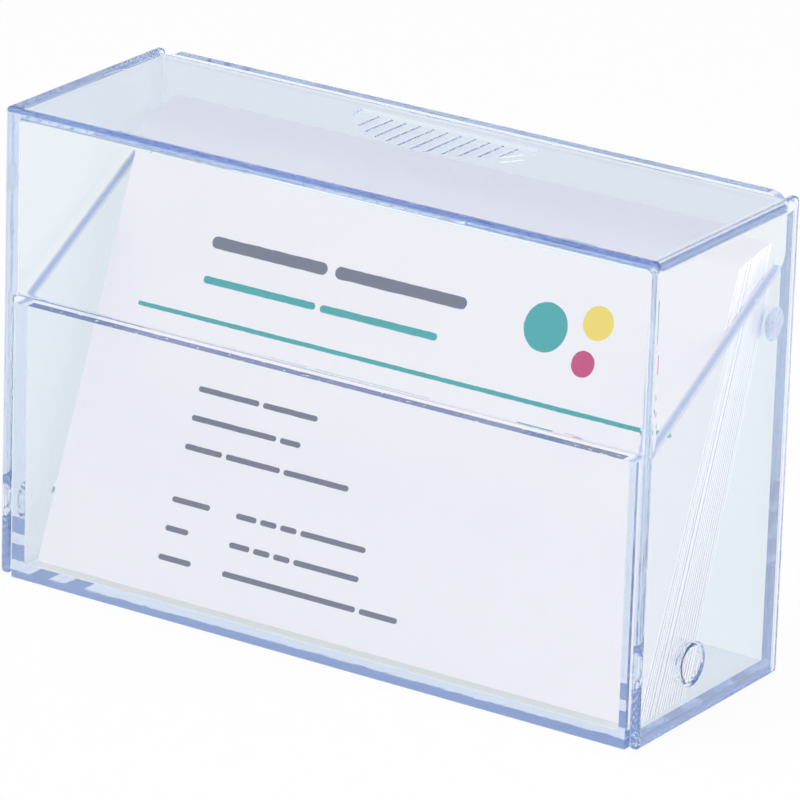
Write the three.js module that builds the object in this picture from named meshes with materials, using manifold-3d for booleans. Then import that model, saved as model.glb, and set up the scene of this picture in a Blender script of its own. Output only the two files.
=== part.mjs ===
// Business card box: a clear tray with a clear lid that turns forward on two low side pivots, holding a
// fanned stack of cards. Millimetres, +Z up, the front faces -Y, and the origin lies under the middle of
// the box at the height that it stands on.
import * as THREE from "three";
import { mergeVertices } from "three/addons/utils/BufferGeometryUtils.js";
import Module from "manifold-3d";

const wasm = await Module();
wasm.setup();

// Cards, which set the size of the box around them
const CARD_WIDTH = 85;
const CARD_HEIGHT = 55;
const CARD_THICKNESS = 0.3;
const CARD_COUNT = 18;
const CARD_SEAT_GAP = 0.3;
const CARD_SHIFT_X = 0.45;
const FIRST_FOOT_GAP = 1.05;
const GAP_BETWEEN_FEET = 0.31;
const GAP_BETWEEN_TOPS = 0.1;
const SIDE_ROOM = 0.8;
const HEADROOM = 2;

// The two mouldings
const BOX_DEPTH = 31.5;
const LID_WALL = 1.4;
const TRAY_WALL = 1.4;
const TRAY_FLOOR = 1.8;
const SIDE_GAP = 0.4;
const LID_FOOT_LIFT = 0.2;
const EDGE_ROUND = 0.45;

// The parting line between the tray and the lid
const TRAY_FRONT_HEIGHT = 35.8;
const TRAY_SHOULDER_HEIGHT = 52.3;
const SLOPE_LAND = 0.4;
const FRONT_GAP = 0.8;
const TOP_GAP = 0.35;
const BACK_CORNER_RADIUS = 2;

// Pivots near the foot of each side
const PIVOT_FROM_FRONT = 11.6;
const PIVOT_HEIGHT = 7.55;
const STUD_RADIUS = 2.5;
const STUD_CLEARANCE = 0.3;
const STUD_RECESS = 0.1;
const ROUND_STEPS = 48;

// Snap near the upper back of each side
const NUB_FROM_BACK = 3.9;
const NUB_HEIGHT = 45.5;
const NUB_RADIUS = 1.5;
const NUB_CLEARANCE = 0.1;
const DIMPLE_MARGIN = 0.6;
const DIMPLE_DEPTH = 0.35;

// Finger grip on the top panel
const GRIP_WIDTH = 25.6;
const GRIP_REACH = 9.6;
const GRIP_FROM_BACK = 4.85;
const GRIP_OFFSET_X = 0.3;
const GRIP_DEPTH = 0.5;
const RIB_PITCH = 2;
const RIB_WIDTH = 0.8;
const RIB_HEIGHT = 0.35;
const RIB_EDGE_GAP = 0.9;

// Colours read off the object
const CLEAR = new THREE.MeshStandardMaterial({
  color: 0xe6f1f8, roughness: 0.05, metalness: 0, transparent: true, opacity: 0.3,
});
const CARD_STOCK = new THREE.MeshStandardMaterial({ color: 0xf4f6fb, roughness: 0.85, metalness: 0 });

// Planes that both mouldings are built from, worked outwards from the cards
const FRONT = -BOX_DEPTH / 2;
const BACK = BOX_DEPTH / 2;
const TRAY_INSIDE_X = CARD_WIDTH / 2 + SIDE_ROOM;
const TRAY_OUTSIDE_X = TRAY_INSIDE_X + TRAY_WALL;
const LID_INSIDE_X = TRAY_OUTSIDE_X + SIDE_GAP;
const BOX_WIDTH = 2 * (LID_INSIDE_X + LID_WALL);
const LID_CEILING = TRAY_FLOOR + CARD_SEAT_GAP + CARD_HEIGHT + HEADROOM;
const BOX_HEIGHT = LID_CEILING + LID_WALL;
const BACK_WALL_FRONT = BACK - TRAY_WALL;
const LID_TOP_BACK = BACK_WALL_FRONT - TOP_GAP;
const LID_FRONT_FOOT = TRAY_FRONT_HEIGHT + FRONT_GAP;
const PIVOT_Y = FRONT + PIVOT_FROM_FRONT;
const NUB_Y = BACK - NUB_FROM_BACK;
const GRIP_Y = BACK - GRIP_FROM_BACK;
const STUD_END_X = BOX_WIDTH / 2 - STUD_RECESS;
// A cutter runs past the faces that it opens by this much, and a joined piece sinks in as far
const PAST = 1;

/** Turns a three.js geometry into a solid that can be joined and cut. */
function solid(geometry) {
  const bare = geometry.index ? geometry.toNonIndexed() : geometry.clone();
  bare.deleteAttribute("normal");
  bare.deleteAttribute("uv");
  const merged = mergeVertices(bare, 1e-5);
  return new wasm.Manifold(new wasm.Mesh({
    numProp: 3,
    vertProperties: new Float32Array(merged.attributes.position.array),
    triVerts: new Uint32Array(merged.index.array),
  }));
}

/** Turns a joined or cut solid back into a named mesh. */
function meshOf(body, name, material) {
  const raw = body.getMesh();
  const geometry = new THREE.BufferGeometry();
  geometry.setAttribute("position", new THREE.BufferAttribute(raw.vertProperties, 3));
  geometry.setIndex(new THREE.BufferAttribute(raw.triVerts, 1));
  geometry.computeVertexNormals();
  const mesh = new THREE.Mesh(geometry, material);
  mesh.name = name;
  return mesh;
}

/** A box between two values on each axis. */
function block([x0, x1], [y0, y1], [z0, z1]) {
  const geometry = new THREE.BoxGeometry(x1 - x0, y1 - y0, z1 - z0);
  geometry.translate((x0 + x1) / 2, (y0 + y1) / 2, (z0 + z1) / 2);
  return solid(geometry);
}

/** A shape drawn in (y, z), pulled along X between two values. */
function alongX(shape, x0, x1) {
  const geometry = new THREE.ExtrudeGeometry(shape, { depth: x1 - x0, bevelEnabled: false, curveSegments: 4 });
  // the shape's own axes (u, v, w) become (y, z, x)
  geometry.applyMatrix4(new THREE.Matrix4().set(0, 0, 1, x0, 1, 0, 0, 0, 0, 1, 0, 0, 0, 0, 0, 1));
  return solid(geometry);
}

/** A shape drawn in (x, z), pulled along Y between two values. */
function alongY(shape, y0, y1) {
  const geometry = new THREE.ExtrudeGeometry(shape, { depth: y1 - y0, bevelEnabled: false, curveSegments: 4 });
  // the shape's own axes (u, v, w) become (x, z, -y)
  geometry.applyMatrix4(new THREE.Matrix4().set(1, 0, 0, 0, 0, 0, -1, y1, 0, 1, 0, 0, 0, 0, 0, 1));
  return solid(geometry);
}

/** A shape drawn in (x, y), pulled along Z between two values. */
function alongZ(shape, z0, z1, curveSegments = 4) {
  const geometry = new THREE.ExtrudeGeometry(shape, { depth: z1 - z0, bevelEnabled: false, curveSegments });
  geometry.translate(0, 0, z0);
  return solid(geometry);
}

/** A round bar along X between two values. */
function barX(radius, x0, x1, y, z) {
  const geometry = new THREE.CylinderGeometry(radius, radius, x1 - x0, ROUND_STEPS);
  geometry.rotateZ(Math.PI / 2);
  geometry.translate((x0 + x1) / 2, y, z);
  return solid(geometry);
}

/** A rectangle from (u0, v0) to (u1, v1); radii are of the corners v0 at u0, v0 at u1, v1 at u1, v1 at u0. */
function roundedRectangle(u0, v0, u1, v1, [r00, r10, r11, r01]) {
  const shape = new THREE.Shape();
  const corner = (x, y, radius, startAngle) => {
    if (radius > 0) shape.absarc(x, y, radius, startAngle, startAngle + Math.PI / 2, false);
    else shape.lineTo(x, y);
  };
  shape.moveTo(u0 + r00, v0);
  corner(u1 - r10, v0 + r10, r10, -Math.PI / 2);
  corner(u1 - r11, v1 - r11, r11, 0);
  corner(u0 + r01, v1 - r01, r01, Math.PI / 2);
  corner(u0 + r00, v0 + r00, r00, Math.PI);
  shape.closePath();
  return shape;
}

/** The same piece on both sides: one call for each side's sign. */
function bothSides(make) {
  return make(1).add(make(-1));
}

// Tray
/** The tray's outer body: its side view, cut to the rounded outline of its back wall. */
function trayBody() {
  const r = EDGE_ROUND;
  const side = new THREE.Shape();
  side.moveTo(FRONT + r, 0);
  side.lineTo(BACK - r, 0);
  side.absarc(BACK - r, r, r, -Math.PI / 2, 0, false);
  side.lineTo(BACK, BOX_HEIGHT);
  side.lineTo(BACK_WALL_FRONT, BOX_HEIGHT);
  side.lineTo(BACK_WALL_FRONT, TRAY_SHOULDER_HEIGHT);
  side.lineTo(FRONT + TRAY_WALL + SLOPE_LAND, TRAY_FRONT_HEIGHT);
  side.lineTo(FRONT, TRAY_FRONT_HEIGHT);
  side.lineTo(FRONT, r);
  side.absarc(FRONT + r, r, r, Math.PI, Math.PI * 1.5, false);
  const corner = BACK_CORNER_RADIUS;
  const outline = roundedRectangle(-TRAY_OUTSIDE_X, 0, TRAY_OUTSIDE_X, BOX_HEIGHT, [0, 0, corner, corner]);
  return alongX(side, -TRAY_OUTSIDE_X, TRAY_OUTSIDE_X).intersect(alongY(outline, FRONT - PAST, BACK + PAST));
}

/** A pivot stud that stands out of the tray's side as far as the lid's outer face. */
function stud(sign) {
  const ends = [sign * (TRAY_OUTSIDE_X - TRAY_WALL / 2), sign * STUD_END_X].sort((a, b) => a - b);
  return barX(STUD_RADIUS, ...ends, PIVOT_Y, PIVOT_HEIGHT);
}

/** The snap's nub: a flat dome on the tray's side. */
function nub(sign) {
  const height = SIDE_GAP - NUB_CLEARANCE;
  const root = TRAY_WALL / 2;
  const profile = [
    new THREE.Vector2(0, -root),
    new THREE.Vector2(NUB_RADIUS, -root),
    new THREE.Vector2(NUB_RADIUS, height / 3),
    new THREE.Vector2(NUB_RADIUS / 2, height),
    new THREE.Vector2(0, height),
  ];
  const geometry = new THREE.LatheGeometry(profile, ROUND_STEPS / 2);
  // the dome's own axis, +Y, is turned to point out of the side
  geometry.rotateZ(-sign * Math.PI / 2);
  geometry.translate(sign * TRAY_OUTSIDE_X, NUB_Y, NUB_HEIGHT);
  return solid(geometry);
}

function tray() {
  const hollow = block(
    [-TRAY_INSIDE_X, TRAY_INSIDE_X],
    [FRONT + TRAY_WALL, BACK_WALL_FRONT],
    [TRAY_FLOOR, BOX_HEIGHT + PAST],
  );
  const body = trayBody().subtract(hollow).add(bothSides(stud)).add(bothSides(nub));
  return meshOf(body, "tray", CLEAR);
}

// Lid
/** The lid's outer body: three rounded outlines cut to what they share. */
function lidBody() {
  const r = EDGE_ROUND;
  const x = BOX_WIDTH / 2;
  const plan = roundedRectangle(-x, FRONT, x, BACK, [r, r, r, r]);
  const front = roundedRectangle(-x, LID_FOOT_LIFT, x, BOX_HEIGHT, [0, 0, r, r]);
  const side = roundedRectangle(FRONT, LID_FOOT_LIFT, BACK, BOX_HEIGHT, [r, r, r, r]);
  return alongZ(plan, 0, BOX_HEIGHT + PAST)
    .intersect(alongY(front, FRONT - PAST, BACK + PAST))
    .intersect(alongX(side, -x - PAST, x + PAST));
}

/** The open space between the side plates, behind the front wall and under the top panel. */
function lidHollow() {
  const inside = [-LID_INSIDE_X, LID_INSIDE_X];
  const room = block(inside, [FRONT + LID_WALL, BACK + PAST], [-PAST, LID_CEILING]);
  const window = block(inside, [FRONT - PAST, FRONT + 2 * LID_WALL], [-PAST, LID_FRONT_FOOT]);
  const backNotch = block(inside, [LID_TOP_BACK, BACK + PAST], [-PAST, BOX_HEIGHT + PAST]);
  return room.add(window).add(backNotch);
}

/** A half moon, which is half an ellipse with its straight side at the back, shrunk by an inset. */
function gripShape(inset) {
  const shape = new THREE.Shape();
  const halfWidth = GRIP_WIDTH / 2 - inset;
  const reach = GRIP_REACH - 2 * inset;
  shape.absellipse(GRIP_OFFSET_X, GRIP_Y - inset, halfWidth, reach, Math.PI, 2 * Math.PI, false, 0);
  shape.closePath();
  return shape;
}

/** The grip's ribs: bars that run front to back, trimmed to a smaller half moon. */
function gripRibs() {
  const foot = BOX_HEIGHT - GRIP_DEPTH;
  const field = alongZ(gripShape(RIB_EDGE_GAP), foot - GRIP_DEPTH, foot + RIB_HEIGHT, ROUND_STEPS / 2);
  const each = Math.floor((GRIP_WIDTH / 2 - RIB_EDGE_GAP - RIB_WIDTH / 2) / RIB_PITCH);
  let bars = null;
  for (let i = -each; i <= each; i += 1) {
    const x = GRIP_OFFSET_X + i * RIB_PITCH;
    const bar = block([x - RIB_WIDTH / 2, x + RIB_WIDTH / 2], [FRONT, BACK], [foot - GRIP_DEPTH, BOX_HEIGHT]);
    bars = bars ? bars.add(bar) : bar;
  }
  return bars.intersect(field);
}

/** A shallow dimple in the lid's inner face that the nub snaps into. */
function dimple(sign) {
  const ends = [sign * (LID_INSIDE_X - PAST / 2), sign * (LID_INSIDE_X + DIMPLE_DEPTH)].sort((a, b) => a - b);
  return barX(NUB_RADIUS + DIMPLE_MARGIN, ...ends, NUB_Y, NUB_HEIGHT);
}

function lid() {
  const x = BOX_WIDTH / 2 + PAST;
  const pivotHoles = barX(STUD_RADIUS + STUD_CLEARANCE, -x, x, PIVOT_Y, PIVOT_HEIGHT);
  const grip = alongZ(gripShape(0), BOX_HEIGHT - GRIP_DEPTH, BOX_HEIGHT + PAST, ROUND_STEPS / 2);
  const body = lidBody()
    .subtract(lidHollow())
    .subtract(pivotHoles)
    .subtract(bothSides(dimple))
    .subtract(grip)
    .add(gripRibs());
  return meshOf(body, "lid", CLEAR);
}

// Stack of cards
/** One card. Its foot counts back from the front wall and its top edge counts forward from the back wall. */
function card(index) {
  const behind = CARD_COUNT - 1 - index;
  const foot = FRONT + TRAY_WALL + FIRST_FOOT_GAP + index * (CARD_THICKNESS + GAP_BETWEEN_FEET);
  const lastTop = BACK_WALL_FRONT - CARD_SEAT_GAP - CARD_THICKNESS;
  const top = lastTop - behind * (CARD_THICKNESS + GAP_BETWEEN_TOPS);
  const lean = Math.asin((top - foot) / CARD_HEIGHT);
  const geometry = new THREE.BoxGeometry(CARD_WIDTH, CARD_THICKNESS, CARD_HEIGHT);
  // the card turns about the lower edge of its front face
  geometry.translate(0, CARD_THICKNESS / 2, CARD_HEIGHT / 2);
  const mesh = new THREE.Mesh(geometry, CARD_STOCK);
  mesh.name = `card_${String(index + 1).padStart(2, "0")}`;
  mesh.rotation.x = -lean;
  const heelDrop = CARD_THICKNESS * Math.sin(lean);
  mesh.position.set(CARD_SHIFT_X, foot, TRAY_FLOOR + CARD_SEAT_GAP + heelDrop);
  return mesh;
}

const box = new THREE.Group();
box.name = "business_card_box";
box.add(tray(), lid());
const stack = new THREE.Group();
for (let i = 0; i < CARD_COUNT; i += 1) stack.add(card(i));
box.add(stack);

export default box;
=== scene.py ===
"""Clear business card box: a tray, a lid that turns forward on two low pivots, and a fanned stack of cards.

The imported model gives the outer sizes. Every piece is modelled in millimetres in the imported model's frame
(+X to the right, -Y to the front, +Z up) and made metres once its mesh is whole.
"""
import logging
import math
from dataclasses import dataclass, field
from enum import Enum

import bpy
import numpy as np
from mathutils import Matrix, Vector


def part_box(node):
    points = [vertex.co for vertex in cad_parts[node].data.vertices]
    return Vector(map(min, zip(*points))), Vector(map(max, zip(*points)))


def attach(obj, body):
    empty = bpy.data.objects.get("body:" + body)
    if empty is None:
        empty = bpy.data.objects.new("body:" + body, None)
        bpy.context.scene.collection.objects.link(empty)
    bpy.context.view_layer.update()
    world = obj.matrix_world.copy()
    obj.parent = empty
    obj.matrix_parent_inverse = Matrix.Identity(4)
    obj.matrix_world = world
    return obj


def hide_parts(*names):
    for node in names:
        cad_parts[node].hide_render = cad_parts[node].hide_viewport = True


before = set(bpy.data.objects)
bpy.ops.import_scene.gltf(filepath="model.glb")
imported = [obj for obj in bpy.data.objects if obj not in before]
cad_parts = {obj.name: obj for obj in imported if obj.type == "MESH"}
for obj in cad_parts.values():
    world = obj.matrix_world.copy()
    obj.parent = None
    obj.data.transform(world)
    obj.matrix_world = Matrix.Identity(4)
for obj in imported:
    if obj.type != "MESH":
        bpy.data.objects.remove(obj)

log = logging.getLogger("card_box")
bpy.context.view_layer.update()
METRES_PER_MM = 0.001
CARD_WIDTH, CARD_HEIGHT = 85.0, 55.0
WHITE = (1.0, 1.0, 1.0, 1.0)
FULL_TURN = np.linspace(0, 2 * math.pi, 96, endpoint=False)


class Side(Enum):
    """The left and the right of the box, as the sign of X."""

    LEFT = -1.0
    RIGHT = 1.0


class Cut(Enum):
    """How one solid changes another."""

    JOIN = "UNION"
    REMOVE = "DIFFERENCE"
    KEEP_SHARED = "INTERSECT"


class Ink(Enum):
    """Print colours of the front card, in linear red, green and blue."""

    GREY = (0.13, 0.145, 0.215)
    TEAL = (0.0, 0.37, 0.38)
    YELLOW = (0.90, 0.70, 0.10)
    MAGENTA = (0.55, 0.01, 0.16)


def packed_box(node: str) -> tuple[np.ndarray, np.ndarray]:
    """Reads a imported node's box.

    Args:
        node: name of the node.

    Returns:
        Its lowest and highest corners in millimetres.
    """
    low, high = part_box(node)
    return np.array(low) / METRES_PER_MM, np.array(high) / METRES_PER_MM


# Meshes


def mesh_object(name: str, points: np.ndarray, faces: list | np.ndarray) -> bpy.types.Object:
    """Makes a mesh object from points and faces.

    Args:
        name: name of the object.
        points: an (n, 3) array in millimetres.
        faces: vertex numbers of each face, anticlockwise when seen from outside.

    Returns:
        The new object, at the origin.
    """
    mesh = bpy.data.meshes.new(name)
    mesh.from_pydata(points.tolist(), [], [tuple(map(int, face)) for face in faces])
    mesh.validate()
    piece = bpy.data.objects.new(name, mesh)
    bpy.context.scene.collection.objects.link(piece)
    return piece


def rounded_outline(corners: list[tuple[float, float, float]], steps: int = 6) -> np.ndarray:
    """Rounds the corners of a closed outline.

    Each corner's arc is centred on the corner's bisector at radius / sin(half angle) from the corner, and
    touches both sides at radius / tan(half angle).

    Args:
        corners: (u, v, radius) of each corner, anticlockwise; a radius of 0 keeps the corner.
        steps: segments in each arc.

    Returns:
        An (n, 2) array of points.
    """
    spots = np.array([c[:2] for c in corners])
    outline = []
    for i, (_, _, radius) in enumerate(corners):
        spot = spots[i]
        if radius <= 0:
            outline.append(spot[None])
            continue
        back = spots[i - 1] - spot
        ahead = spots[(i + 1) % len(spots)] - spot
        back, ahead = back / np.linalg.norm(back), ahead / np.linalg.norm(ahead)
        half = math.acos(float(np.clip(back @ ahead, -1, 1))) / 2
        bisector = (back + ahead) / np.linalg.norm(back + ahead)
        centre = spot + bisector * radius / math.sin(half)
        start = spot + back * radius / math.tan(half) - centre
        end = spot + ahead * radius / math.tan(half) - centre
        share = np.linspace(0, 1, steps + 1)[:, None]
        sweep = math.pi - 2 * half
        arc = (np.sin((1 - share) * sweep) * start + np.sin(share * sweep) * end) / math.sin(sweep)
        outline.append(centre + arc)
    return np.concatenate(outline)


def prism(name: str, outline: np.ndarray, axis: int, low: float, high: float) -> bpy.types.Object:
    """Pulls a closed outline along an axis.

    Args:
        name: name of the object.
        outline: an (n, 2) array, in the two axes that are left, in X, Y, Z order.
        axis: 0, 1 or 2, the axis to pull along.
        low: where the prism starts.
        high: where it ends.

    Returns:
        A closed solid.
    """
    count = len(outline)
    ends = [np.insert(outline, axis, at, axis=1) for at in (low, high)]
    ring = np.arange(count)
    ahead = (ring + 1) % count
    faces = [*np.stack([ring, ahead, ahead + count, ring + count], axis=1), ring[::-1], ring + count]
    area = 0.5 * np.sum(outline[:, 0] * outline[ahead, 1] - outline[ahead, 0] * outline[:, 1])
    # an outline in (x, z) is left-handed about Y
    if (area < 0) != (axis == 1):
        faces = [face[::-1] for face in faces]
    return mesh_object(name, np.concatenate(ends), faces)


def block(name: str, low: tuple[float, float, float], high: tuple[float, float, float]) -> bpy.types.Object:
    """A plain cutter between two corners."""
    outline = np.array([[low[1], low[2]], [high[1], low[2]], [high[1], high[2]], [low[1], high[2]]])
    return prism(name, outline, 0, low[0], high[0])


def round_bar(name: str, radius: float, low: float, high: float, y: float, z: float) -> bpy.types.Object:
    """A round bar along X, whose outline is a circle."""
    outline = np.stack([y + radius * np.cos(FULL_TURN), z + radius * np.sin(FULL_TURN)], axis=1)
    return prism(name, outline, 0, low, high)


def turned(
    name: str, profile: np.ndarray, side: Side, start: float, axis: tuple[float, float]
) -> bpy.types.Object:
    """Turns a profile about a line along X.

    Args:
        name: name of the object.
        profile: (reach outwards from the start, radius) of each ring, from root to tip.
        side: the side that it points to.
        start: distance from the middle of the box to where the reach counts from.
        axis: Y and Z of the line.

    Returns:
        A closed solid with flat ends.
    """
    reach, radius = profile[:, 0, None], profile[:, 1, None]
    x = side.value * (start + reach) * np.ones_like(FULL_TURN)
    points = np.stack([x, axis[0] + radius * np.cos(FULL_TURN), axis[1] + radius * np.sin(FULL_TURN)], axis=2)
    rings, count = x.shape
    grid = np.arange(rings * count).reshape(rings, count)
    ahead = np.roll(grid, -1, axis=1)
    quads = np.stack([grid[:-1], ahead[:-1], ahead[1:], grid[1:]], axis=2).reshape(-1, 4)
    faces = [*quads, grid[0][::-1], grid[-1]]
    if side is Side.LEFT:
        faces = [face[::-1] for face in faces]
    return mesh_object(name, points.reshape(-1, 3), faces)


def dome(root: float, radius: float, rise: float, tip: float, rings: int) -> np.ndarray:
    """The profile of a shallow dome on a straight root, for turned().

    At a share s of its radius, the dome has risen by rise * cos(s * pi / 2).

    Args:
        root: how far back the root starts.
        radius: of the root and of the dome's foot.
        rise: height at the middle.
        tip: share of the radius where the dome's flat tip starts.
        rings: rings from foot to tip.

    Returns:
        (reach, radius) of each ring.
    """
    share = np.linspace(1, tip, rings)
    curve = np.stack([rise * np.cos(share * math.pi / 2), radius * share], axis=1)
    return np.concatenate([[[-root, radius]], curve])


def finish_modifiers(piece: bpy.types.Object) -> None:
    """Replaces a piece's mesh by what its modifiers make of it."""
    graph = bpy.context.evaluated_depsgraph_get()
    shaped = bpy.data.meshes.new_from_object(piece.evaluated_get(graph))
    piece.modifiers.clear()
    piece.data = shaped


def combine(piece: bpy.types.Object, other: bpy.types.Object, cut: Cut) -> None:
    """Joins, cuts or trims a piece by another solid, which is used up.

    Args:
        piece: the solid that changes.
        other: the solid that it is joined with or cut by.
        cut: what to do.
    """
    step = piece.modifiers.new(cut.name.lower(), "BOOLEAN")
    step.operation = cut.value
    step.solver = "EXACT"
    step.object = other
    finish_modifiers(piece)
    bpy.data.objects.remove(other)


def soften(piece: bpy.types.Object, radius: float, segments: int, over_degrees: float = 40.0) -> None:
    """Rounds a piece's edges.

    Args:
        piece: the solid.
        radius: of the rounding.
        segments: faces across each rounded edge.
        over_degrees: only edges sharper than this are rounded.
    """
    step = piece.modifiers.new("soft_edges", "BEVEL")
    step.width = radius
    step.segments = segments
    step.limit_method = "ANGLE"
    step.angle_limit = math.radians(over_degrees)
    finish_modifiers(piece)


def face_values(piece: bpy.types.Object, kind: str) -> np.ndarray:
    """Reads each face's "normal" or "center", as an (n, 3) array."""
    values = np.zeros(3 * len(piece.data.polygons))
    piece.data.polygons.foreach_get(kind, values)
    return values.reshape(-1, 3)


def near_long_edges(middle: np.ndarray, low: np.ndarray, high: np.ndarray, reach: float) -> np.ndarray:
    """Finds the faces along a box's edges in X: those whose middle is near to one side in Y and one in Z.

    Args:
        middle: the faces' middles.
        low: the box's lowest corner.
        high: its highest corner.
        reach: how near counts.

    Returns:
        True for each such face.
    """
    return (np.minimum(middle - low, high - middle)[:, 1:] < reach).all(axis=1)


def settle(piece: bpy.types.Object, name: str) -> None:
    """Names a finished piece and turns its mesh from millimetres into metres."""
    piece.name = name
    piece.data.name = name
    piece.data.transform(Matrix.Scale(METRES_PER_MM, 4))


# Finishes


class Graph:
    """A short hand for building node trees."""

    def __init__(self, tree: bpy.types.NodeTree) -> None:
        """Keeps the tree that it builds in.

        Args:
            tree: a material's, a world's or a group's node tree.
        """
        self.tree = tree

    def node(self, kind: str, settings: dict | None = None, **sockets: object) -> bpy.types.Node:
        """Adds a node.

        Args:
            kind: Blender's name of the node.
            settings: attributes of the node.
            sockets: input names, with spaces as underscores, and their values or the sockets to link.

        Returns:
            The node.
        """
        made = self.tree.nodes.new(kind)
        for key, value in (settings or {}).items():
            setattr(made, key, value)
        for key, value in sockets.items():
            self.put(made.inputs[key.replace("_", " ")], value)
        return made

    def put(self, socket: bpy.types.NodeSocket, value: object) -> None:
        """Sets a socket, or links it when the value is an output."""
        if isinstance(value, bpy.types.NodeSocket):
            self.tree.links.new(value, socket)
        else:
            socket.default_value = value

    def worked_out(self, kind: str, operation: str, values: tuple[object, ...]) -> bpy.types.Node:
        """Adds a Math or a Vector Math node, with its inputs in order."""
        made = self.node(kind, {"operation": operation})
        for slot, value in enumerate(values):
            self.put(made.inputs[slot], value)
        return made

    def maths(self, operation: str, *values: object) -> bpy.types.NodeSocket:
        """Adds a Math node and returns its output."""
        return self.worked_out("ShaderNodeMath", operation, values).outputs[0]

    def vectors(self, operation: str, *values: object) -> bpy.types.NodeSocket:
        """Adds a Vector Math node and returns its vector output."""
        return self.worked_out("ShaderNodeVectorMath", operation, values).outputs["Vector"]

    def length(self, vector: bpy.types.NodeSocket) -> bpy.types.NodeSocket:
        """Adds a node for a vector's length and returns its output."""
        return self.worked_out("ShaderNodeVectorMath", "LENGTH", (vector,)).outputs["Value"]

    def carried(
        self, value: object, start: tuple[float, float], end: tuple[float, float], kind: str = "LINEAR"
    ) -> bpy.types.NodeSocket:
        """Carries a value from the start range to the end range, and keeps it inside the end range."""
        made = self.node("ShaderNodeMapRange", {"interpolation_type": kind}, Value=value,
                         From_Min=start[0], From_Max=start[1], To_Min=end[0], To_Max=end[1])
        return made.outputs["Result"]

    def blend_colours(self, factor: object, first: object, second: object) -> bpy.types.NodeSocket:
        """Mixes two colours.

        Args:
            factor: 0 gives the first and 1 the second.
            first: a colour or an output.
            second: a colour or an output.

        Returns:
            The mixed colour.
        """
        made = self.tree.nodes.new("ShaderNodeMix")
        made.data_type = "RGBA"
        for name, value in (("Factor_Float", factor), ("A_Color", first), ("B_Color", second)):
            socket = next(s for s in made.inputs if s.identifier == name)
            self.put(socket, value)
        return next(s for s in made.outputs if s.identifier == "Result_Color")

    def blend_shaders(self, factor: object, first: object, second: object) -> bpy.types.NodeSocket:
        """Mixes two shaders: a factor of 0 gives the first and 1 the second."""
        made = self.node("ShaderNodeMixShader")
        for socket, value in zip(made.inputs, (factor, first, second)):
            self.put(socket, value)
        return made.outputs["Shader"]


def new_material(name: str) -> tuple[bpy.types.Material, Graph, bpy.types.Node]:
    """Makes a node material.

    Args:
        name: name of the material.

    Returns:
        The material, its graph and its Principled shader.
    """
    material = bpy.data.materials.new(name)
    material.use_nodes = True
    return material, Graph(material.node_tree), material.node_tree.nodes["Principled BSDF"]


def rgba(colour: tuple[float, float, float]) -> tuple[float, float, float, float]:
    """A colour with full alpha."""
    return (*colour, 1.0)


@dataclass(frozen=True)
class SurfaceGrain:
    """A node group with fine unevenness, shared by the moulding and the card.

    Its outputs are a Height for Bump nodes and a Mask from 0 to 1 that drifts slowly over the surface.
    """

    name: str = "surface_grain"

    def group(self) -> bpy.types.NodeTree:
        """Builds the group once and returns it afterwards."""
        found = bpy.data.node_groups.get(self.name)
        if found:
            return found
        tree = bpy.data.node_groups.new(self.name, "ShaderNodeTree")
        for way, labels in (("INPUT", ("Fine Scale", "Slow Scale")), ("OUTPUT", ("Height", "Mask"))):
            for label in labels:
                tree.interface.new_socket(label, in_out=way, socket_type="NodeSocketFloat")
        graph = Graph(tree)
        given = graph.node("NodeGroupInput")
        place = graph.node("ShaderNodeTexCoord").outputs["Object"]
        result = graph.node("NodeGroupOutput")
        for scale, octaves, label in (("Fine Scale", 4.0, "Height"), ("Slow Scale", 2.0, "Mask")):
            noise = graph.node("ShaderNodeTexNoise", Vector=place, Scale=given.outputs[scale], Detail=octaves)
            graph.put(result.inputs[label], noise.outputs["Fac"])
        return tree

    def place(self, graph: Graph, fine: float, slow: float) -> bpy.types.Node:
        """Puts the group into a material.

        Args:
            graph: the material's graph.
            fine: cells of the fine grain per metre.
            slow: cells of the slow drift per metre.

        Returns:
            The group's node.
        """
        return graph.node("ShaderNodeGroup", {"node_tree": self.group()}, Fine_Scale=fine, Slow_Scale=slow)


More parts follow.
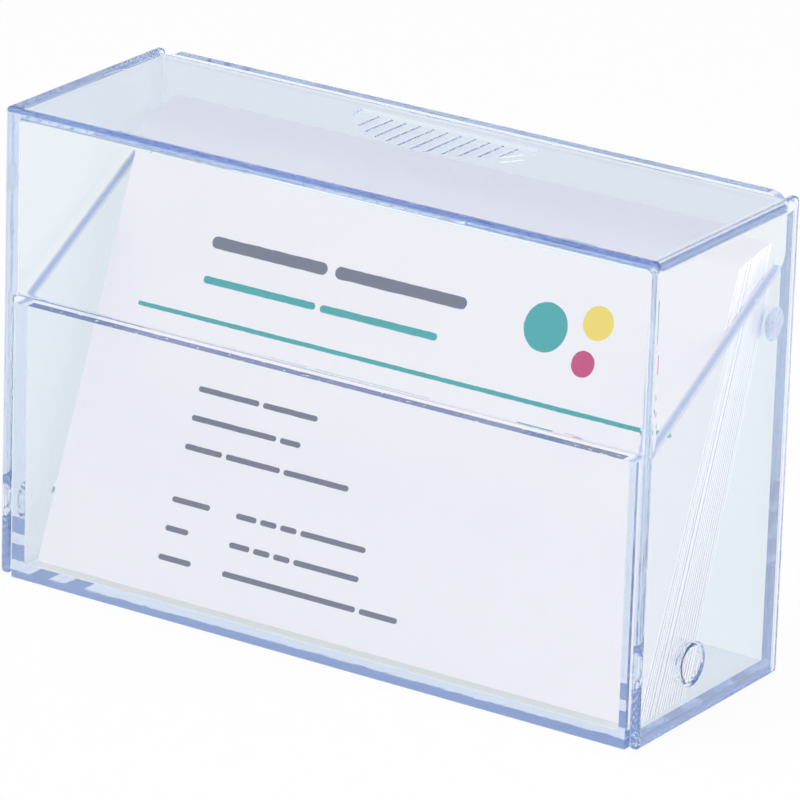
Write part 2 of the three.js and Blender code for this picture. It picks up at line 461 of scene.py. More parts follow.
@dataclass(frozen=True)
class ClearPlastic:
    """Polished clear moulding: pale through a wall, and blue along an edge, where light has gone far.

    Lengths are in metres: ripple is the height of the fine grain.
    """

    slot: str = "clear_plastic"
    through_wall: tuple[float, float, float] = (0.925, 0.955, 0.968)
    edge_colour: tuple[float, float, float] = (0.20, 0.49, 0.94)
    edge_density: float = 9.75
    ior: float = 1.55
    polish: tuple[float, float] = (0.0, 0.012)
    clearness: float = 0.995
    light_let_in: tuple[float, float, float] = (0.985, 0.985, 0.99)
    fine_scale: float = 400.0
    slow_scale: float = 45.0
    ripple: float = 0.000005
    name: str = "clear_moulding"

    def tint(self, graph: Graph, grain: bpy.types.Node) -> object:
        """The surface's colour: the same all over.

        Args:
            graph: the material's graph, not used here.
            grain: the material's surface grain, not used here.

        Returns:
            A colour, or the output of one.
        """
        return rgba(self.through_wall)

    def material(self) -> bpy.types.Material:
        """Builds the material."""
        material, graph, shader = new_material(self.name)
        grain = SurfaceGrain().place(graph, self.fine_scale, self.slow_scale)
        bump = graph.node("ShaderNodeBump", Height=grain.outputs["Height"], Distance=self.ripple)
        graph.put(shader.inputs["Base Color"], self.tint(graph, grain))
        graph.put(shader.inputs["Roughness"], graph.carried(grain.outputs["Mask"], (0.0, 1.0), self.polish))
        graph.put(shader.inputs["IOR"], self.ior)
        graph.put(shader.inputs["Transmission Weight"], self.clearness)
        graph.put(shader.inputs["Normal"], bump.outputs["Normal"])
        # light on its way to the cards goes straight through the walls, as through a thin clear pane
        path = graph.node("ShaderNodeLightPath").outputs
        passing = graph.node("ShaderNodeBsdfTransparent", Color=rgba(self.light_let_in)).outputs["BSDF"]
        surface = shader.outputs["BSDF"]
        for ray in ("Is Diffuse Ray", "Is Shadow Ray"):
            surface = graph.blend_shaders(path[ray], surface, passing)
        inside = graph.node("ShaderNodeVolumeAbsorption", Color=rgba(self.edge_colour),
                            Density=self.edge_density)
        output = graph.tree.nodes["Material Output"]
        graph.put(output.inputs["Surface"], surface)
        graph.put(output.inputs["Volume"], inside.outputs["Volume"])
        return material


@dataclass(frozen=True)
class SatinPlasticPaintedShade(ClearPlastic):
    """The moulding with a satin face whose colour is painted light and shade: a pale blue, painted deeper as
    shade along the middle of a side wall and on the ledge, with small painted glints.

    wall_middle is that middle's distance from the box's, and core the distances from it where the face
    starts and ends to pale. The ledge between the walls starts at ledge_from.
    """

    # painted shade: through_wall and ledge are deep blues painted as the shade in these strips where cards
    # stand behind them, and beside is their paler painted light
    through_wall: tuple[float, float, float] = (0.46, 0.58, 0.88)
    ledge: tuple[float, float, float] = (0.16, 0.22, 0.42)
    beside: tuple[float, float, float] = (0.95, 0.955, 1.0)
    # glint: the band of the grain that pales the colour into small painted glints
    glint: tuple[float, float] = (0.62, 0.72)
    wall_middle: float = 0.044
    core: tuple[float, float] = (0.00022, 0.0006)
    ledge_from: float = 0.0012
    polish: tuple[float, float] = (0.10, 0.30)
    clearness: float = 0.25
    fine_scale: float = 1500.0
    name: str = "satin_moulding_painted_shade"

    def tint(self, graph: Graph, grain: bpy.types.Node) -> bpy.types.NodeSocket:
        """The surface's colour: a deep blue painted shade that pales away from a side wall's middle, and in
        small painted glints.

        Args:
            graph: the material's graph.
            grain: the material's surface grain.

        Returns:
            The colour's output.
        """
        place = graph.node("ShaderNodeTexCoord").outputs["Object"]
        across = graph.maths("ABSOLUTE", graph.node("ShaderNodeSeparateXYZ", Vector=place).outputs["X"])
        off = graph.maths("SUBTRACT", across, self.wall_middle)
        beyond = graph.carried(graph.maths("ABSOLUTE", off), self.core, (0.0, 1.0))
        # painted glints: where the grain peaks, the colour turns pale
        painted_glint = graph.carried(grain.outputs["Height"], self.glint, (0.0, 1.0))
        near_wall = graph.maths("GREATER_THAN", off, -self.ledge_from)
        # painted shade: deep blue on the ledge and along a side wall's middle
        painted_shade_colour = graph.blend_colours(near_wall, rgba(self.ledge), rgba(self.through_wall))
        share = graph.maths("MAXIMUM", graph.maths("MULTIPLY", beyond, near_wall), painted_glint)
        return graph.blend_colours(share, painted_shade_colour, rgba(self.beside))


@dataclass(frozen=True)
class SnapPlastic(ClearPlastic):
    """The moulding in the snap's dimple: pitted, so that polish and frost lie side by side."""

    through_wall: tuple[float, float, float] = (0.97, 0.975, 0.99)
    polish: tuple[float, float] = (0.0, 0.12)
    clearness: float = 0.8
    fine_scale: float = 1800.0
    slow_scale: float = 1300.0
    ripple: float = 0.0003
    name: str = "snap_moulding"


@dataclass(frozen=True)
class EdgePlastic(ClearPlastic):
    """The moulding along its long outer edges: a bluer tint, painted shade for the blue that light gathers
    running along a wall, and rippled where the halves of the mould meet.
    """

    # painted shade: a darker, bluer tint than the rest of the moulding
    through_wall: tuple[float, float, float] = (0.90, 0.935, 0.96)
    polish: tuple[float, float] = (0.0, 0.04)
    ripple: float = 0.0002
    name: str = "edge_moulding"


@dataclass(frozen=True)
class CardStock:
    """Smooth matt card with a faint fibre grain."""

    slot: str = "card_stock"
    name: str = "plain_card"
    white: tuple[float, float, float] = (0.94, 0.905, 0.935)
    shade: tuple[float, float, float] = (0.91, 0.88, 0.915)
    roughness: float = 0.62
    gloss: float = 0.3
    fibre_scale: float = 2600.0
    drift_scale: float = 90.0
    fibre_height: float = 0.000004
    fibre_strength: float = 0.6

    def paper(self) -> tuple[bpy.types.Material, Graph, bpy.types.Node, bpy.types.NodeSocket]:
        """Builds the bare card.

        Returns:
            The material, its graph, its shader and the paper colour's output.
        """
        material, graph, shader = new_material(self.name)
        grain = SurfaceGrain().place(graph, self.fibre_scale, self.drift_scale)
        colour = graph.blend_colours(grain.outputs["Mask"], rgba(self.white), rgba(self.shade))
        bump = graph.node("ShaderNodeBump", Strength=self.fibre_strength, Distance=self.fibre_height,
                          Height=grain.outputs["Height"])
        graph.put(shader.inputs["Base Color"], colour)
        graph.put(shader.inputs["Roughness"], self.roughness)
        graph.put(shader.inputs["Specular IOR Level"], self.gloss)
        graph.put(shader.inputs["Normal"], bump.outputs["Normal"])
        return material, graph, shader, colour

    def material(self) -> bpy.types.Material:
        """Builds the material."""
        return self.paper()[0]


@dataclass(frozen=True)
class PrintMark:
    """One printed bar with round ends, or a disc when its half width equals its half height."""

    ink: Ink
    centre: tuple[float, float]
    half: tuple[float, float]

    @property
    def radius(self) -> float:
        """Radius of the bar's ends."""
        return min(self.half)


def words(
    ink: Ink, start: float, base: float, height: float, lengths: list[float], gap: float = 0.8
) -> list[PrintMark]:
    """Lays a row of plain bars that stand for a line of words.

    Args:
        ink: colour of the bars.
        start: where the row starts, from the card's left edge.
        base: the row's foot, from the card's lower edge.
        height: of the bars.
        lengths: of the bars.
        gap: between two bars, as a share of their height.

    Returns:
        The marks.
    """
    widths = np.array(lengths)
    lefts = start + np.concatenate([[0], np.cumsum(widths + gap * height)[:-1]])
    return [
        PrintMark(ink, (float(left + width / 2), base + height / 2), (float(width / 2), height / 2))
        for left, width in zip(lefts, widths)
    ]


@dataclass(frozen=True)
class PrintedCard(CardStock):
    """The front card: plain bars, discs and a rule on the same stock. It has no lettering."""

    name: str = "printed_card"
    softness: float = 0.05

    def marks(self) -> list[PrintMark]:
        """The layout, in millimetres from the card's lower left corner."""
        marks = [
            PrintMark(Ink.TEAL, (62.5, 43.0), (3.0, 3.0)),
            PrintMark(Ink.YELLOW, (69.4, 44.9), (2.1, 2.1)),
            PrintMark(Ink.MAGENTA, (68.6, 39.8), (1.6, 1.6)),
            PrintMark(Ink.TEAL, (43.0, 33.9), (37.5, 0.28)),
        ]
        marks += words(Ink.GREY, 14.0, 42.6, 1.5, [17.0, 19.0])
        marks += words(Ink.TEAL, 14.0, 38.2, 0.9, [16.5, 17.0])
        rows = [(25.2, [9.0, 8.0]), (21.6, [12.5, 3.0]), (18.0, [5.5, 8.0, 9.5]),
                (11.4, [5.6]), (7.8, [3.4]), (4.2, [4.8])]
        for base, lengths in rows:
            marks += words(Ink.GREY, 17.0, base, 0.7, lengths)
        for base, lengths in [(11.4, [3.0, 2.4, 2.4, 9.5]), (7.8, [3.0, 2.4, 2.4, 9.5]), (4.2, [19.5, 5.5])]:
            marks += words(Ink.GREY, 26.5, base, 0.7, lengths)
        return marks

    def mark_group(self) -> bpy.types.NodeTree:
        """Builds the group that masks one mark.

        The distance to a rounded bar is the length of max(|p - centre| - (half - radius), 0), less the
        radius, and the mask falls from 1 to 0 as that distance passes zero.

        Returns:
            The group.
        """
        tree = bpy.data.node_groups.new("print_mark", "ShaderNodeTree")
        for label, kind in (("Place", "NodeSocketVector"), ("Centre", "NodeSocketVector"),
                            ("Core", "NodeSocketVector"), ("Radius", "NodeSocketFloat"),
                            ("Softness", "NodeSocketFloat")):
            tree.interface.new_socket(label, in_out="INPUT", socket_type=kind)
        tree.interface.new_socket("Mask", in_out="OUTPUT", socket_type="NodeSocketFloat")
        graph = Graph(tree)
        given = graph.node("NodeGroupInput").outputs
        offset = graph.vectors("ABSOLUTE", graph.vectors("SUBTRACT", given["Place"], given["Centre"]))
        beyond = graph.vectors("SUBTRACT", offset, given["Core"])
        outside = graph.vectors("MAXIMUM", beyond, (0.0, 0.0, 0.0))
        distance = graph.maths("SUBTRACT", graph.length(outside), given["Radius"])
        spread = graph.maths("DIVIDE", distance, given["Softness"])
        mask = graph.maths("SUBTRACT", 0.5, spread)
        mask_limited = graph.node("ShaderNodeClamp", Value=mask)
        result = graph.node("NodeGroupOutput")
        graph.put(result.inputs["Mask"], mask_limited.outputs["Result"])
        return tree

    def material(self) -> bpy.types.Material:
        """Builds the material: the paper, with each ink mixed in where its marks are."""
        material, graph, shader, colour = self.paper()
        group = self.mark_group()
        layout = graph.node("ShaderNodeUVMap", {"uv_map": "card_face"}).outputs["UV"]
        in_mm = graph.node("ShaderNodeMapping", Vector=layout, Scale=(CARD_WIDTH, CARD_HEIGHT, 1.0))
        for ink in Ink:
            total = None
            for mark in (m for m in self.marks() if m.ink is ink):
                core = (mark.half[0] - mark.radius, mark.half[1] - mark.radius, 1.0)
                made = graph.node("ShaderNodeGroup", {"node_tree": group}, Place=in_mm.outputs["Vector"],
                                  Centre=(*mark.centre, 0.0), Core=core, Radius=mark.radius,
                                  Softness=self.softness)
                mask = made.outputs["Mask"]
                total = graph.maths("MAXIMUM", total, mask) if total else mask
            colour = graph.blend_colours(total, colour, rgba(ink.value))
        graph.put(shader.inputs["Base Color"], colour)
        return material


# Sub-assemblies


@dataclass
class BoxSizes:
    """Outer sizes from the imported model, and the walls and gaps inside them, in millimetres."""

    wall: float = 1.4
    floor: float = 1.8
    side_gap: float = 0.4
    top_gap: float = 0.35
    front_gap: float = 0.8
    tray_front: float = 35.8
    shoulder: float = 52.3
    slope_land: float = 0.4
    pivot_from_front: float = 11.6
    pivot_height: float = 7.55
    nub_from_back: float = 3.9
    nub_height: float = 45.5
    past: float = 1.0
    low: np.ndarray = field(default_factory=lambda: packed_box("lid")[0])
    high: np.ndarray = field(default_factory=lambda: packed_box("lid")[1])

    @property
    def half_width(self) -> float:
        """Half of the lid's width."""
        return float(self.high[0])

    @property
    def front(self) -> float:
        """The front face's Y."""
        return float(self.low[1])

    @property
    def back(self) -> float:
        """The back face's Y."""
        return float(self.high[1])

    @property
    def top(self) -> float:
        """The top face's Z."""
        return float(self.high[2])

    @property
    def lid_inside(self) -> float:
        """X of the lid's inner side faces."""
        return self.half_width - self.wall

    @property
    def tray_outside(self) -> float:
        """X of the tray's outer side faces."""
        return self.lid_inside - self.side_gap

    @property
    def back_wall_front(self) -> float:
        """Y of the back wall's inner face."""
        return self.back - self.wall

    @property
    def pivot(self) -> tuple[float, float]:
        """Y and Z of the pivot axis."""
        return self.front + self.pivot_from_front, self.pivot_height

    @property
    def nub(self) -> tuple[float, float]:
        """Y and Z of the snap's middle."""
        return self.back - self.nub_from_back, self.nub_height


@dataclass
class Moulding:
    """What the tray and the lid have in common: both are clear, with other finishes on some faces."""

    sizes: BoxSizes

    def build(self) -> bpy.types.Object:
        """Makes the moulding."""
        raise NotImplementedError

    def finishes(self, piece: bpy.types.Object) -> np.ndarray:
        """Sorts the faces: 1 for the long outer edges, with their painted shade tint, 2 for the moulding's
        own finish, which on the tray holds painted shade and glints, 0 for the rest.
        """
        raise NotImplementedError

    def make(self, node: str, materials: list[bpy.types.Material]) -> None:
        """Builds the moulding and dresses it.

        Args:
            node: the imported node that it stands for, whose body has its name with _body after it.
            materials: one for each number that finishes() gives.
        """
        piece = self.build()
        chosen = self.finishes(piece)
        settle(piece, f"{node}_moulding")
        dress(piece, materials, f"{node}_body", node)
        piece.data.polygons.foreach_set("material_index", chosen.astype(np.int32))


@dataclass
class Tray(Moulding):
    """The tray: floor, low front wall, sloped sides, full back wall, pivot studs and snap nubs."""

    edge: float = 0.3
    edge_segments: int = 5
    back_corner: float = 2.0
    back_corner_steps: int = 10
    front_corner: float = 0.5
    shoulder_radius: float = 3.0
    satin_and_shade_limit: float = 0.93
    corner_limit: float = 0.07
    stud_radius: float = 2.5
    stud_edge: float = 0.5
    stud_rings: int = 6
    stud_recess: float = 0.1
    nub_radius: float = 1.5
    nub_rise: float = 0.3

    def shell(self) -> bpy.types.Object:
        """The tray's walls: its side view pulled across, hollowed, with the back wall's corners rounded."""
        s = self.sizes
        x = s.tray_outside
        side = rounded_outline([
            (s.front, 0, 0), (s.back, 0, 0), (s.back, s.top, 0), (s.back_wall_front, s.top, 0),
            (s.back_wall_front, s.shoulder, self.shoulder_radius),
            (s.front + s.wall + s.slope_land, s.tray_front, self.front_corner), (s.front, s.tray_front, 0),
        ])
        shell = prism("tray_shell", side, 0, -x, x)
        r = self.back_corner
        corners = [(-x, 0, 0), (x, 0, 0), (x, s.top, r), (-x, s.top, r)]
        outline = rounded_outline(corners, self.back_corner_steps)
        combine(shell, prism("outline", outline, 1, s.front - s.past, s.back + s.past), Cut.KEEP_SHARED)
        inner = x - s.wall
        low = (-inner, s.front + s.wall, s.floor)
        combine(shell, block("hollow", low, (inner, s.back_wall_front, s.top + s.past)), Cut.REMOVE)
        soften(shell, self.edge, self.edge_segments)
        return shell

    def stud(self, side: Side) -> bpy.types.Object:
        """A pivot stud with a rounded rim: a profile of radius against reach, turned about X.

        Args:
            side: which side it is on.

        Returns:
            The stud.
        """
        s = self.sizes
        reach = s.half_width - self.stud_recess - s.tray_outside
        corner = np.linspace(0, math.pi / 2, self.stud_rings)
        rim = np.stack([reach - self.stud_edge + self.stud_edge * np.sin(corner),
                        self.stud_radius - self.stud_edge + self.stud_edge * np.cos(corner)], axis=1)
        profile = np.concatenate([[[-s.wall / 2, self.stud_radius]], rim])
        return turned("stud", profile, side, s.tray_outside, s.pivot)

    def nub(self, side: Side) -> bpy.types.Object:
        """A snap nub: a shallow dome."""
        s = self.sizes
        profile = dome(s.wall / 2, self.nub_radius, self.nub_rise, tip=0.12, rings=8)
        return turned("nub", profile, side, s.tray_outside, s.nub)

    def build(self) -> bpy.types.Object:
        """Makes the tray."""
        tray = self.shell()
        for side in Side:
            combine(tray, self.stud(side), Cut.JOIN)
            combine(tray, self.nub(side), Cut.JOIN)
        return tray

    def finishes(self, tray: bpy.types.Object) -> np.ndarray:
        """Sorts the faces by finish.

        Args:
            tray: the finished tray.

        Returns:
            1 for the long outer edges, whose tint is painted shade, 2 for the sloped side tops, the front
            wall's ledge and the back wall's rounded corners, which take the satin face with painted shade and
            glints, and 0 for the rest.
        """
        s = self.sizes
        normal, middle = face_values(tray, "normal"), face_values(tray, "center")
        run = s.back_wall_front - (s.front + s.wall + s.slope_land)
        slope = np.array([0.0, s.tray_front - s.shoulder, run])
        on_slope = normal @ (slope / np.linalg.norm(slope)) > self.satin_and_shade_limit
        on_ledge = (normal[:, 2] > self.satin_and_shade_limit) & (np.abs(middle[:, 2] - s.tray_front) < s.slope_land)
        low = np.array([-s.tray_outside, s.front, 0.0])
        on_edge = near_long_edges(middle, low, np.array([s.tray_outside, s.back, s.top]), self.edge)
        short = np.minimum(np.abs(middle[:, 0]) - s.tray_outside, middle[:, 2] - s.top)
        in_corner = short > -self.back_corner
        on_corner = in_corner & (np.abs(normal[:, 0] * normal[:, 2]) > self.corner_limit)
        return np.where(on_slope | on_ledge | on_corner, 2, on_edge)


@dataclass
class Lid(Moulding):
    """The lid: top panel with a ribbed finger grip, upper front wall and two full side plates."""

    edge: float = 0.55
    edge_segments: int = 6
    hole_radius: float = 2.8
    dimple_radius: float = 2.1
    dimple_depth: float = 0.2
    grip_half_width: float = 12.8
    grip_reach: float = 9.6
    grip_from_back: float = 4.85
    grip_offset: float = 0.3
    grip_depth: float = 0.3
    grip_points: int = 65
    rib_pitch: float = 2.0
    rib_half_width: float = 0.48
    rib_rise: float = 0.084
    rib_round: float = 0.8
    rib_inset: float = 0.9

    def shell(self) -> bpy.types.Object:
        """The lid's walls, with rounded edges: a block, less the room inside, the window and the back."""
        s = self.sizes
        x, far = s.half_width, s.past
        inner = s.lid_inside
        low = float(s.low[2])
        shell = block("lid_shell", (-x, s.front, low), (x, s.back, s.top))
        room = block("room", (-inner, s.front + s.wall, -far), (inner, s.back + far, s.top - s.wall))
        combine(shell, room, Cut.REMOVE)
        foot = s.tray_front + s.front_gap
        window = block("window", (-inner, s.front - far, -far), (inner, s.front + 2 * s.wall, foot))
        combine(shell, window, Cut.REMOVE)
        back_edge = s.back_wall_front - s.top_gap
        notch = block("notch", (-inner, back_edge, -far), (inner, s.back + far, s.top + far))
        combine(shell, notch, Cut.REMOVE)
        soften(shell, self.edge, self.edge_segments)
        return shell

    def half_moon(self, name: str, inset: float, low: float, high: float) -> bpy.types.Object:
        """A half ellipse with its straight side at the back, pulled along Z.

        Args:
            name: name of the object.
            inset: how much smaller it is than the grip.
            low: where it starts.
            high: where it ends.

        Returns:
            The solid.
        """
        turn = np.linspace(math.pi, 2 * math.pi, self.grip_points)
        middle = self.sizes.back - self.grip_from_back - inset
        x = self.grip_offset + (self.grip_half_width - inset) * np.cos(turn)
        y = middle + (self.grip_reach - 2 * inset) * np.sin(turn)
        return prism(name, np.stack([x, y], axis=1), 2, low, high)

    def ribs(self) -> bpy.types.Object:
        """The grip's ribs: rounded bars from front to back, trimmed to a smaller half moon."""
        s = self.sizes
        foot = s.top - self.grip_depth
        sunk = foot - self.grip_depth
        each = int((self.grip_half_width - self.rib_inset - self.rib_half_width) // self.rib_pitch)
        spots = self.grip_offset + self.rib_pitch * np.arange(-each, each + 1)
        half, crest = self.rib_half_width, foot + self.rib_rise
        comb = None
        for x in spots:
            outline = rounded_outline([(x - half, sunk, 0), (x + half, sunk, 0),
                                       (x + half, crest, half * self.rib_round),
                                       (x - half, crest, half * self.rib_round)])
            bar = prism("rib", outline, 1, s.front + 2 * s.wall, s.back_wall_front - s.wall)
            if comb is None:
                comb = bar
            else:
                combine(comb, bar, Cut.JOIN)
        combine(comb, self.half_moon("trim", self.rib_inset, sunk - s.past, s.top), Cut.KEEP_SHARED)
        return comb

    def dimple(self, side: Side) -> bpy.types.Object:
        """The cutter of a snap dimple: a shallow dish."""
        s = self.sizes
        profile = dome(s.wall / 4, self.dimple_radius, self.dimple_depth, tip=0.1, rings=10)
        return turned("dimple", profile, side, s.lid_inside, s.nub)

    def build(self) -> bpy.types.Object:
        """Makes the lid."""
        s = self.sizes
        lid = self.shell()
        for side in Side:
            ends = sorted((side.value * (s.lid_inside - s.past), side.value * (s.half_width + s.past)))
            combine(lid, round_bar("pivot_hole", self.hole_radius, *ends, *s.pivot), Cut.REMOVE)
            combine(lid, self.dimple(side), Cut.REMOVE)
        grip = self.half_moon("grip", 0.0, s.top - self.grip_depth, s.top + s.past)
        combine(lid, grip, Cut.REMOVE)
        combine(lid, self.ribs(), Cut.JOIN)
        return lid

    def finishes(self, lid: bpy.types.Object) -> np.ndarray:
        """Sorts the faces by finish.

        Args:
            lid: the finished lid.

        Returns:
            1 for the long outer edges, 2 for the snap dimples, and 0 for the rest.
        """
        s = self.sizes
        middle = face_values(lid, "center")
        away = np.hypot(middle[:, 1] - s.nub[0], middle[:, 2] - s.nub[1])
        depth = np.abs(middle[:, 0]) - s.lid_inside
        in_dimple = (away < self.dimple_radius) & (depth > 0) & (depth <= self.dimple_depth)
        return np.where(in_dimple, 2, near_long_edges(middle, s.low, s.high, self.edge))


@dataclass
class CardStack:
    """The cards: each a closed sheet with a slight bow, in the place of its packed card."""

    count: int = 18
    thickness: float = 0.3
    bow: float = 0.12
    slip: float = 0.05
    grid: tuple[int, int] = (24, 18)
    seed: int = 7

    def build_card(self, name: str, slip: float) -> bpy.types.Object:
        """Makes one card as a closed sheet.

        A point at share (u, v) of the front face lies at foot + u * width * X + v * height * upwards, and
        steps back by bow * sin(pi v) along the card's normal. The back face lies one thickness behind it.
        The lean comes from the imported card's box, which is height * sin + thickness * cos deep and
        height * cos + thickness * sin tall; both are solved for the sine.

        Args:
            name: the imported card's node.
            slip: how far the card sits to the side.

        Returns:
            The card.
        """
        low, high = packed_box(name)
        depth, tall, thick = high[1] - low[1], high[2] - low[2], self.thickness
        lean = math.asin((CARD_HEIGHT * depth - thick * tall) / (CARD_HEIGHT**2 - thick**2))
        up = np.array([0.0, math.sin(lean), math.cos(lean)])
        normal = np.array([0.0, math.cos(lean), -math.sin(lean)])
        foot = np.array([low[0] + slip, low[1], low[2] + thick * math.sin(lean)])
        u, v = np.meshgrid(np.linspace(0, 1, self.grid[0]), np.linspace(0, 1, self.grid[1]), indexing="ij")
        across = (u * CARD_WIDTH)[..., None] * np.array([1.0, 0, 0])
        bend = self.bow * np.sin(math.pi * v)[..., None] * normal
        front = foot + across + (v * CARD_HEIGHT)[..., None] * up + bend
        sheets = np.stack([front, front + thick * normal])
        nu, nv = self.grid
        index = np.arange(2 * nu * nv).reshape(2, nu, nv)

        def quads(sheet: np.ndarray) -> np.ndarray:
            """The faces of one grid of vertex numbers."""
            cells = [sheet[:-1, :-1], sheet[1:, :-1], sheet[1:, 1:], sheet[:-1, 1:]]
            return np.stack(cells, axis=2).reshape(-1, 4)

        sides = [index[:, :-1, 0], index[:, -1, :-1], index[:, :0:-1, -1], index[:, 0, :0:-1]]
        rim = np.concatenate(sides, axis=1)
        ahead = np.roll(rim, -1, axis=1)
        strip = np.stack([rim[0], rim[1], ahead[1], ahead[0]], axis=1)
        faces = np.concatenate([quads(index[0]), quads(index[1])[:, ::-1], strip])
        card = mesh_object(name, sheets.reshape(-1, 3), faces)
        shares = np.tile(np.stack([u, v], axis=-1).reshape(-1, 2), (2, 1))
        corners = np.zeros(len(card.data.loops), dtype=np.int32)
        card.data.loops.foreach_get("vertex_index", corners)
        uv = card.data.uv_layers.new(name="card_face")
        uv.data.foreach_set("uv", shares[corners].ravel())
        settle(card, f"{name}_sheet")
        return card

    def make(self) -> None:
        """Builds and dresses every card, each slipped a little to one side by seeded chance."""
        blank, printed = CardStock().material(), PrintedCard().material()
        slips = np.random.default_rng(self.seed).uniform(-self.slip, self.slip, self.count)
        for i, slip in enumerate(slips):
            node = f"card_{i + 1:02d}"
            card = self.build_card(node, float(slip))
            dress(card, [blank if i else printed], "tray_body", node)


@dataclass(frozen=True)
class SoftLamp:
    """A broad square lamp, in metres and watts."""

    name: str
    place: tuple[float, float, float]
    size: float
    watts: float


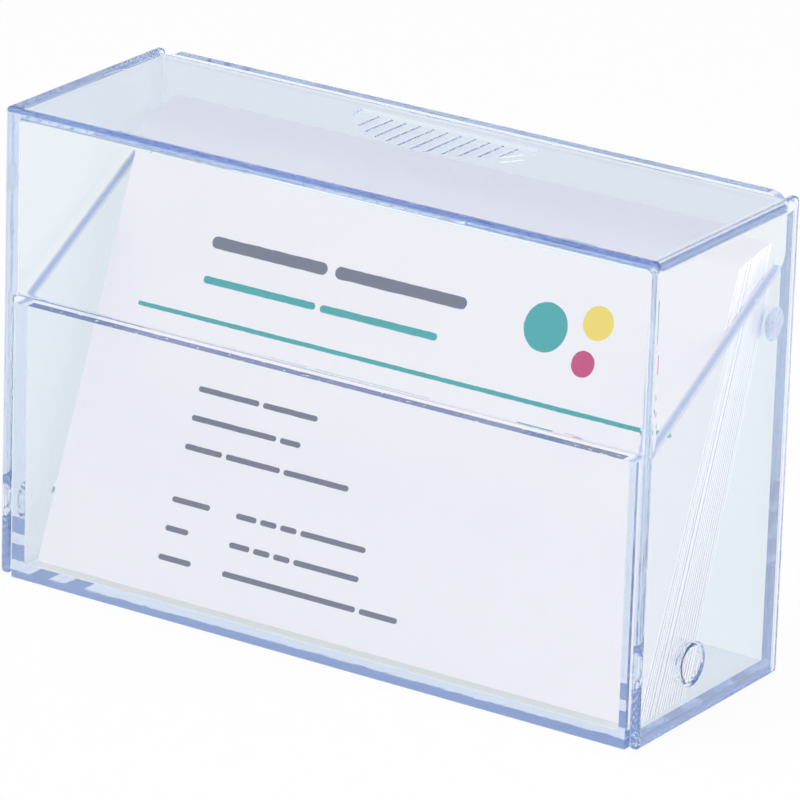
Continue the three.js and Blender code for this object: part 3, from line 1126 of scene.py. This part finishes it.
@dataclass
class Studio:
    """A white floor and surround, two soft lamps, and the camera at the photograph's angle.

    Angles are in degrees, the lens and the sensor in millimetres, and other lengths in metres. What gloss
    and clear plastic see of the surround turns from white to overhead as a ray's rise goes through dim_from.
    """

    azimuth: float = 33.346
    elevation: float = 19.975
    roll: float = 1.808
    distance: float = 0.8815
    target: tuple[float, float, float] = (0.001426, 0.0, 0.02919)
    lens: float = 329.7
    sensor: float = 36.0
    clip: tuple[float, float] = (0.05, 20.0)
    floor_half: float = 3.0
    floor_drop: float = 0.00005
    floor_white: tuple[float, float, float] = (0.9, 0.9, 0.9)
    floor_roughness: float = 0.9
    floor_glow: float = 0.86
    light_level: float = 0.83
    dim_from: tuple[float, float] = (0.10, 0.45)
    overhead: tuple[float, float, float] = (0.26, 0.36, 0.62)
    bounces: int = 80
    lamps: tuple[SoftLamp, ...] = (
        SoftLamp("soft_lamp_left", (-0.35, -0.25, 0.7), 0.6, 0.92),
        SoftLamp("soft_lamp_right", (0.75, -0.1, 0.3), 0.5, 3.0),
    )

    def seen_directly(self, graph: Graph) -> bpy.types.NodeSocket:
        """1 for rays from the camera, from gloss and through clear plastic, and 0 for the rest."""
        path = graph.node("ShaderNodeLightPath").outputs
        mirrored = graph.maths("MAXIMUM", path["Is Camera Ray"], path["Is Glossy Ray"])
        return graph.maths("MAXIMUM", mirrored, path["Is Transmission Ray"])

    def surround(self) -> None:
        """A white world, whose light on the object is a little lower than what is seen."""
        world = bpy.data.worlds.new("surround")
        bpy.context.scene.world = world
        world.use_nodes = True
        graph = Graph(world.node_tree)
        shine = world.node_tree.nodes["Background"]
        path = graph.node("ShaderNodeLightPath").outputs
        # rays that have met no matt surface yet show what the camera sees, and the rest light the object
        seen = graph.maths("LESS_THAN", path["Diffuse Depth"], 0.5)
        direction = graph.node("ShaderNodeTexCoord").outputs["Generated"]
        rise = graph.node("ShaderNodeSeparateXYZ", Vector=direction).outputs["Z"]
        overhead = graph.carried(rise, self.dim_from, (0.0, 1.0), "SMOOTHSTEP")
        through = graph.maths("MAXIMUM", path["Is Glossy Ray"], path["Is Transmission Ray"])
        share = graph.maths("MULTIPLY", overhead, graph.maths("MULTIPLY", through, seen))
        graph.put(shine.inputs["Color"], graph.blend_colours(share, WHITE, rgba(self.overhead)))
        graph.put(shine.inputs["Strength"], graph.carried(seen, (0.0, 1.0), (self.light_level, 1.0)))

    def floor(self) -> None:
        """A white floor that glows where it is seen, and still takes the object's shadow."""
        h, z = self.floor_half, -self.floor_drop
        points = np.array([[-h, -h, z], [h, -h, z], [h, h, z], [-h, h, z]])
        floor = mesh_object("floor", points, [(0, 1, 2, 3)])
        material, graph, shader = new_material("floor_white")
        graph.put(shader.inputs["Base Color"], rgba(self.floor_white))
        graph.put(shader.inputs["Roughness"], self.floor_roughness)
        glow = graph.node("ShaderNodeEmission", Color=WHITE, Strength=1.0)
        share = graph.maths("MULTIPLY", self.seen_directly(graph), self.floor_glow)
        graph.put(graph.tree.nodes["Material Output"].inputs["Surface"],
                  graph.blend_shaders(share, shader.outputs["BSDF"], glow.outputs["Emission"]))
        floor.data.materials.append(material)

    def place_lamp(self, lamp: SoftLamp) -> None:
        """Makes a lamp that points at the box."""
        data = bpy.data.lights.new(lamp.name, "AREA")
        data.size = lamp.size
        data.energy = lamp.watts
        made = bpy.data.objects.new(lamp.name, data)
        made.location = lamp.place
        aim = Vector(self.target) - made.location
        made.rotation_euler = aim.to_track_quat("-Z", "Y").to_euler()
        bpy.context.scene.collection.objects.link(made)

    def camera(self) -> None:
        """The camera, turned by azimuth and elevation round the target and then rolled."""
        a, e, r = (math.radians(v) for v in (self.azimuth, self.elevation, self.roll))
        away = Vector((math.sin(a) * math.cos(e), -math.cos(a) * math.cos(e), math.sin(e)))
        right = Vector((math.cos(a), math.sin(a), 0.0))
        up = away.cross(right)
        rolled = right * math.cos(r) + up * math.sin(r)
        upright = up * math.cos(r) - right * math.sin(r)
        data = bpy.data.cameras.new("camera")
        data.sensor_width = self.sensor
        data.lens = self.lens
        data.clip_start, data.clip_end = self.clip
        camera = bpy.data.objects.new("camera", data)
        place = Matrix((rolled, upright, away)).transposed().to_4x4()
        place.translation = Vector(self.target) + away * self.distance
        camera.matrix_world = place
        bpy.context.scene.collection.objects.link(camera)
        bpy.context.scene.camera = camera

    def build(self) -> None:
        """Sets up the whole studio."""
        scene = bpy.context.scene
        scene.view_settings.view_transform = "Standard"
        # light that runs along a wall meets its faces many times before it leaves by an edge
        scene.cycles.max_bounces = self.bounces
        scene.cycles.transmission_bounces = self.bounces
        scene.cycles.glossy_bounces = self.bounces
        scene.cycles.blur_glossy = 0.0
        self.surround()
        self.floor()
        for lamp in self.lamps:
            self.place_lamp(lamp)
        self.camera()


def dress(
    piece: bpy.types.Object, materials: list[bpy.types.Material], body: str, node: str
) -> None:
    """Gives a piece its finish and its place in the part.

    Args:
        piece: the finished piece.
        materials: its materials, of which the first is on every face so far.
        body: the moving body that it rides on.
        node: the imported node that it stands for.
    """
    piece.data.materials.clear()
    for material in materials:
        piece.data.materials.append(material)
    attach(piece, body)
    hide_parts(node)
    log.info("%s: %d faces, rides on %s", piece.name, len(piece.data.polygons), body)


def main() -> None:
    """Builds the studio, the two mouldings and the cards, and reports each piece."""
    logging.basicConfig(level=logging.INFO, format="%(name)s: %(message)s")
    Studio().build()
    sizes = BoxSizes()
    clear, edge = ClearPlastic().material(), EdgePlastic().material()
    Tray(sizes).make("tray", [clear, edge, SatinPlasticPaintedShade().material()])
    Lid(sizes).make("lid", [clear, edge, SnapPlastic().material()])
    CardStack().make()


if __name__ == "__main__":
    main()
